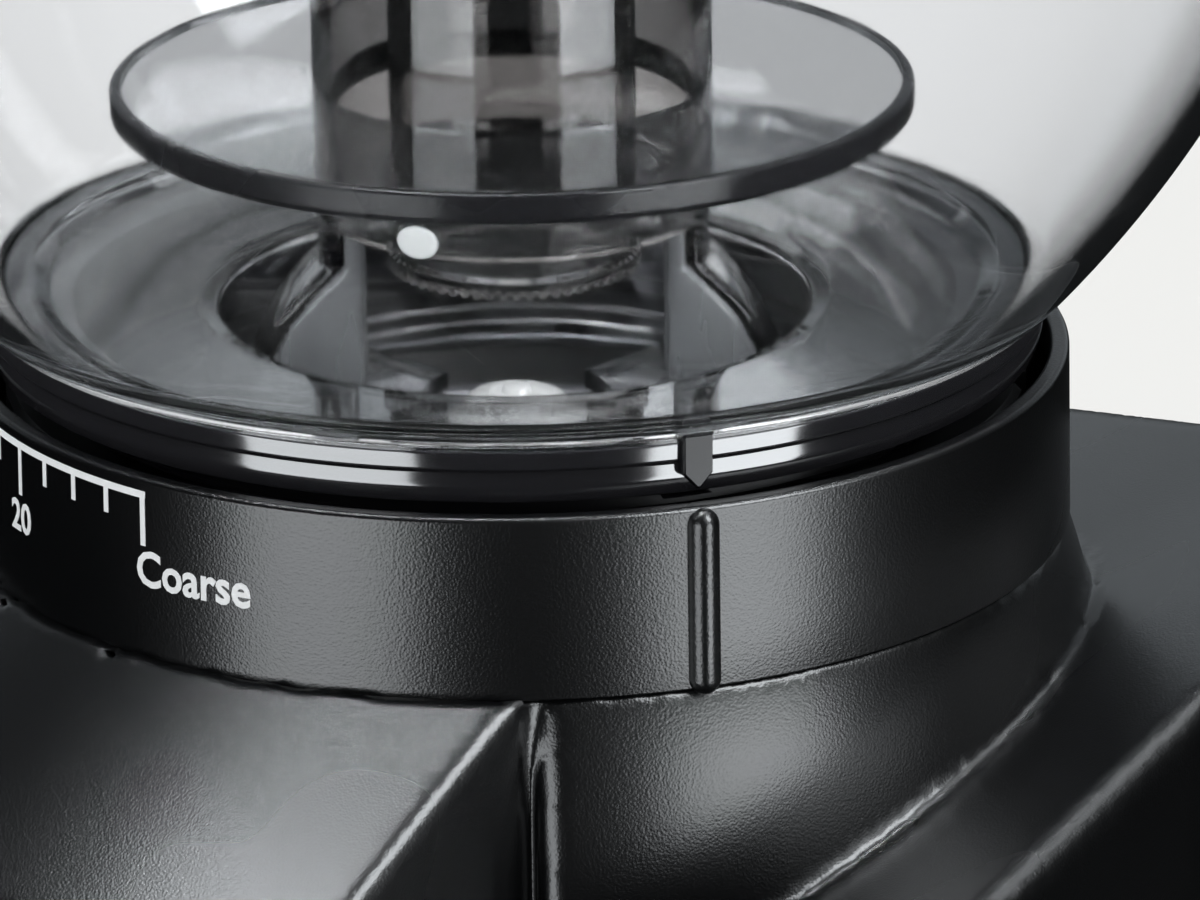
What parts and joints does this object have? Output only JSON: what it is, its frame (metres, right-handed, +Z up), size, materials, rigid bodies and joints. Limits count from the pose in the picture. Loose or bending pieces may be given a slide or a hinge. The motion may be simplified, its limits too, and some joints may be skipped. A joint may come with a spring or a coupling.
{
  "type": "burr coffee grinder",
  "caption": "Burr coffee grinder with a turning clear hopper that sets the grind, lift-off lid, portafilter fork and slide-out grounds tray.",
  "frame": {"origin": "middle of the footprint's box, on the surface that the feet stand on", "axes": "+Z up, front of the machine towards -Y, +X to the viewer's right when facing the front"},
  "size_m": [0.16, 0.19, 0.38],
  "materials": {
    "housing_black": "fine leather-grain moulded texture",
    "trim_black": "smooth satin moulding",
    "panel_grey": "satin moulding",
    "clear_smoke": "smoked clear plastic",
    "dark_smoke": "dark smoked clear plastic",
    "rubber": "matt rubber",
    "felt": "pressed felt",
    "diecast": "as-cast",
    "burr_steel": "ground steel",
    "fastener_steel": "zinc plated",
    "nut_chrome": "polished dome nut",
    "motor_steel": "plated sheet",
    "copper_rotor": "laminated core with windings",
    "gear_nylon": "natural nylon",
    "pinion_brass": "cut brass",
    "circuit_green": "circuit board",
    "rocker_red": "gloss rocker"
  },
  "bodies": {
    "machine": {"base_plate": "panel_grey", "rubber_feet": "rubber", "base_housing": "housing_black", "column_housing": "housing_black", "front_panel": "panel_grey", "head_housing": "housing_black", "head_underside": "trim_black", "top_collar": "housing_black", "grinding_chamber": "diecast", "chamber_seal": "felt", "grind_chute": "trim_black", "chute_nozzle": "trim_black", "portafilter_fork": "panel_grey", "gearbox_housing": "diecast", "gearbox_cover": "diecast", "motor_can": "motor_steel", "motor_end_cap": "trim_black", "upper_bearing": "fastener_steel", "lower_bearing": "fastener_steel", "gear_axle": "fastener_steel", "vibration_mounts": "rubber", "control_board": "circuit_green", "start_switch": "trim_black", "timer_potentiometer": "motor_steel", "hopper_switch": "trim_black", "power_switch_frame": "trim_black", "cord_gland": "rubber", "vent_grille": "housing_black", "base_screws": "fastener_steel", "housing_screws": "fastener_steel", "motor_screws": "fastener_steel"},
    "adjuster": {"adjusting_ring": "trim_black"},
    "burr_carriage": {"burr_carrier": "trim_black", "outer_burr": "burr_steel", "burr_screws": "fastener_steel"},
    "burr_drive": {"burr_shaft": "burr_steel", "drive_gear": "gear_nylon", "impeller": "trim_black", "inner_burr": "burr_steel", "burr_nut": "nut_chrome"},
    "idler": {"intermediate_gear": "gear_nylon"},
    "rotor": {"motor_rotor": "copper_rotor", "motor_pinion": "pinion_brass"},
    "tray": {"grounds_tray": "trim_black"},
    "timer": {"timer_knob": "trim_black"},
    "button": {"start_button": "panel_grey", "button_spring": "fastener_steel"},
    "rocker": {"power_rocker": "rocker_red"},
    "hopper": {"hopper_bowl": "clear_smoke", "hopper_neck": "dark_smoke", "hopper_floor": "dark_smoke"},
    "tower": {"guard_tower": "dark_smoke", "guard_disc": "clear_smoke", "gate_plate": "dark_smoke", "lock_stem": "dark_smoke", "lock_knob": "trim_black"},
    "hopper_lid": {"lid": "clear_smoke", "lid_seal": "rubber", "lid_knob": "trim_black"}
  },
  "joints": [
    {"name": "grind_setting", "type": "hinge", "parent": "machine", "child": "adjuster", "pos_m": [0, 0.015, 0.247], "axis": [0, 0, 1], "range_deg": [-177.3, 0]},
    {"name": "burr_gap", "type": "slide", "parent": "machine", "child": "burr_carriage", "axis": [0, 0, 1], "range_m": [-0.00205, 0]},
    {"name": "hopper_lift", "type": "slide", "parent": "adjuster", "child": "hopper", "axis": [0, 0, 1], "range_m": [0, 0.045]},
    {"name": "hopper_lock", "type": "hinge", "parent": "hopper", "child": "tower", "pos_m": [0, 0.015, 0.312], "axis": [0, 0, 1], "range_deg": [0, 90]},
    {"name": "lid_lift", "type": "slide", "parent": "hopper", "child": "hopper_lid", "axis": [0, 0, 1], "range_m": [0, 0.05]},
    {"name": "burr_spin", "type": "hinge", "parent": "machine", "child": "burr_drive", "pos_m": [0, 0.015, 0.212], "axis": [0, 0, 1], "continuous": true},
    {"name": "idler_spin", "type": "hinge", "parent": "machine", "child": "idler", "pos_m": [-0.02994, 0.03313, 0.182], "axis": [0, 0, 1], "continuous": true},
    {"name": "motor_spin", "type": "hinge", "parent": "machine", "child": "rotor", "pos_m": [0, 0.035, 0.142], "axis": [0, 0, 1], "continuous": true},
    {"name": "tray_slide", "type": "slide", "parent": "machine", "child": "tray", "axis": [0, -1, 0], "range_m": [0, 0.07]},
    {"name": "timer_turn", "type": "hinge", "parent": "machine", "child": "timer", "pos_m": [0, -0.035, 0.078], "axis": [0, -1, 0], "range_deg": [-270, 0]},
    {"name": "start_press", "type": "slide", "parent": "machine", "child": "button", "axis": [0, 1, 0], "range_m": [0, 0.003], "stiffness_N_per_m": 600, "springref_m": -0.002},
    {"name": "power_rock", "type": "hinge", "parent": "machine", "child": "rocker", "pos_m": [-0.071, 0.015, 0.08], "axis": [0, 1, 0], "range_deg": [-8, 8]}
  ],
  "couplings": [
    {"joint": "burr_gap", "follows": "grind_setting", "m_per_rad": 0.0006366},
    {"joint": "idler_spin", "follows": "burr_spin", "ratio": -3},
    {"joint": "motor_spin", "follows": "burr_spin", "ratio": 12}
  ]
}
